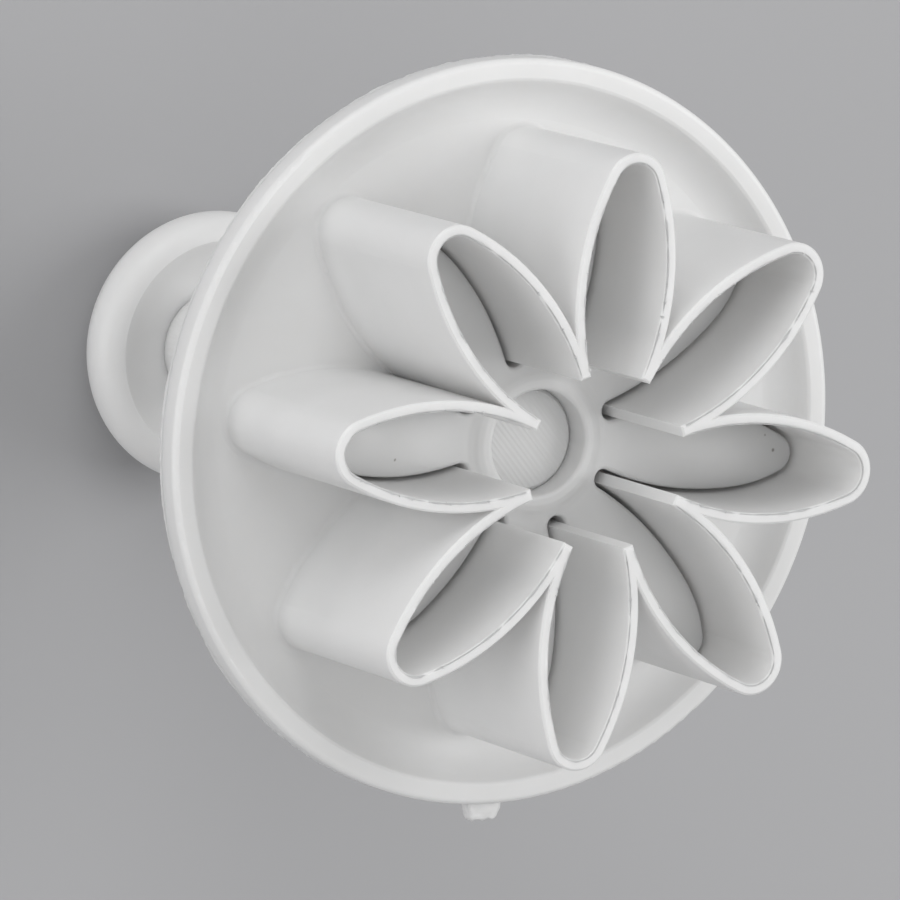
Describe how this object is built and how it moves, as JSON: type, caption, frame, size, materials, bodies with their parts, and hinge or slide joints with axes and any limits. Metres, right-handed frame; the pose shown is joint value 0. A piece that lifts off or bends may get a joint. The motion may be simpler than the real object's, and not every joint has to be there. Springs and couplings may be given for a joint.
{
  "type": "plunger cutter",
  "caption": "Hand-held flower cutter for rolled icing: a fluted cutting wall on a dished round flange, with a sprung domed stamp inside, pressed by a mushroom knob.",
  "frame": {"origin": "centre of the flat end of the press knob, on which the cutter stands with its cutting edge up", "axes": "+Z along the plunger from the knob to the cutting edge, +X along the middle of one petal"},
  "size_m": [0.055, 0.055, 0.064],
  "materials": {
    "cutter_plastic": "moulded, semi-gloss",
    "stamp_plastic": "moulded, semi-gloss",
    "stem_plastic": "moulded, semi-gloss",
    "knob_plastic": "moulded, semi-gloss",
    "spring_steel": "drawn spring wire"
  },
  "bodies": {
    "cutter": {"cutter_body": "cutter_plastic", "return_spring": "spring_steel"},
    "plunger": {"stamp": "stamp_plastic", "plunger_stem": "stem_plastic", "press_knob": "knob_plastic"}
  },
  "joints": [
    {"name": "plunger_slide", "type": "slide", "parent": "cutter", "child": "plunger", "axis": [0, 0, 1], "range_m": [0, 0.01], "stiffness_N_per_m": 750, "springref_m": -0.006, "deforming": ["return_spring"]}
  ]
}
